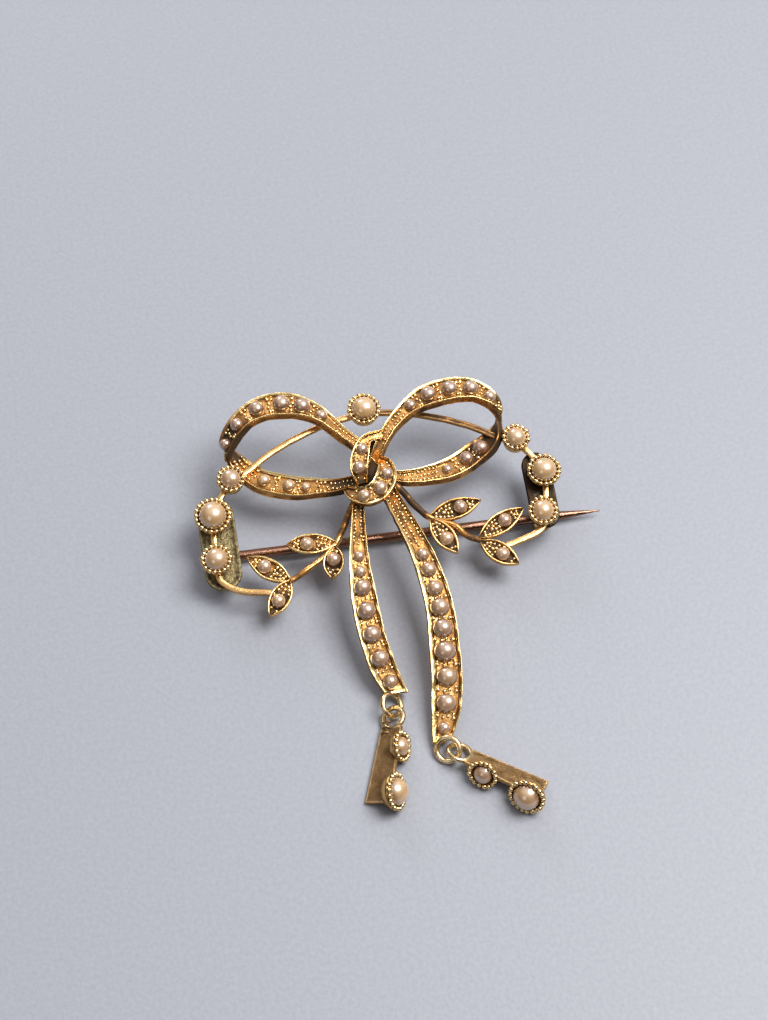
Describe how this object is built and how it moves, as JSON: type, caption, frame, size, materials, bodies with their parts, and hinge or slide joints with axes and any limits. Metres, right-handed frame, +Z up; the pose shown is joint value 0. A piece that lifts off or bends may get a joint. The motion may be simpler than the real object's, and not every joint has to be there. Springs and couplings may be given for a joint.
{
  "type": "bow brooch",
  "caption": "Gold ribbon-bow brooch with two loops, two hanging tails, leaf sprays and beaded settings of half pearls, a hinged pin with a catch, and two small hanging drops.",
  "frame": {"origin": "centre of the box round the brooch, on the table that it lies on", "axes": "+Z up from the table, +X to the brooch's right as it is worn face up with the bow at the top, +Y from the drops up to the loops"},
  "size_m": [0.0398, 0.0443, 0.0087],
  "materials": {
    "yellow_gold": "polished, worn and darkened in the recesses",
    "rose_gold_pin": "satin, browned",
    "cream_pearl": "soft pearl lustre",
    "grey_pearl": "soft pearl lustre, greyed"
  },
  "bodies": {
    "brooch": {"bow_frame": "yellow_gold", "hinge_rivet": "yellow_gold", "drop_left": "yellow_gold", "drop_right": "yellow_gold", "left_loop_pearls": "grey_pearl", "right_loop_pearls": "grey_pearl", "knot_pearls": "grey_pearl", "collet_pearl_1": "cream_pearl", "collet_pearl_2": "cream_pearl", "collet_pearl_3": "cream_pearl", "collet_pearl_4": "cream_pearl", "collet_pearl_5": "cream_pearl", "collet_pearl_6": "cream_pearl", "collet_pearl_7": "cream_pearl", "leaf_pearl_1": "grey_pearl", "leaf_pearl_2": "grey_pearl", "leaf_pearl_3": "grey_pearl", "leaf_pearl_4": "grey_pearl", "leaf_pearl_5": "grey_pearl", "leaf_pearl_6": "grey_pearl", "leaf_pearl_7": "grey_pearl", "leaf_pearl_8": "grey_pearl", "drop_pearl_1": "cream_pearl", "drop_pearl_2": "cream_pearl", "drop_pearl_3": "cream_pearl", "drop_pearl_4": "cream_pearl", "left_tail_pearl_1": "grey_pearl", "left_tail_pearl_2": "grey_pearl", "left_tail_pearl_3": "grey_pearl", "left_tail_pearl_4": "grey_pearl", "left_tail_pearl_5": "grey_pearl", "left_tail_pearl_6": "grey_pearl", "left_tail_pearl_7": "grey_pearl", "right_tail_pearl_1": "grey_pearl", "right_tail_pearl_2": "grey_pearl", "right_tail_pearl_3": "grey_pearl", "right_tail_pearl_4": "grey_pearl", "right_tail_pearl_5": "grey_pearl", "right_tail_pearl_6": "grey_pearl", "right_tail_pearl_7": "grey_pearl", "right_tail_pearl_8": "grey_pearl", "right_tail_pearl_9": "grey_pearl"},
    "pin": {"pin_stem": "rose_gold_pin"}
  },
  "joints": [
    {"name": "pin_hinge", "type": "hinge", "parent": "brooch", "child": "pin", "pos_m": [-0.01801, 0.0084, 0.00099], "axis": [0.0209, 0.9851, 0.1705], "range_deg": [0, 80]}
  ]
}
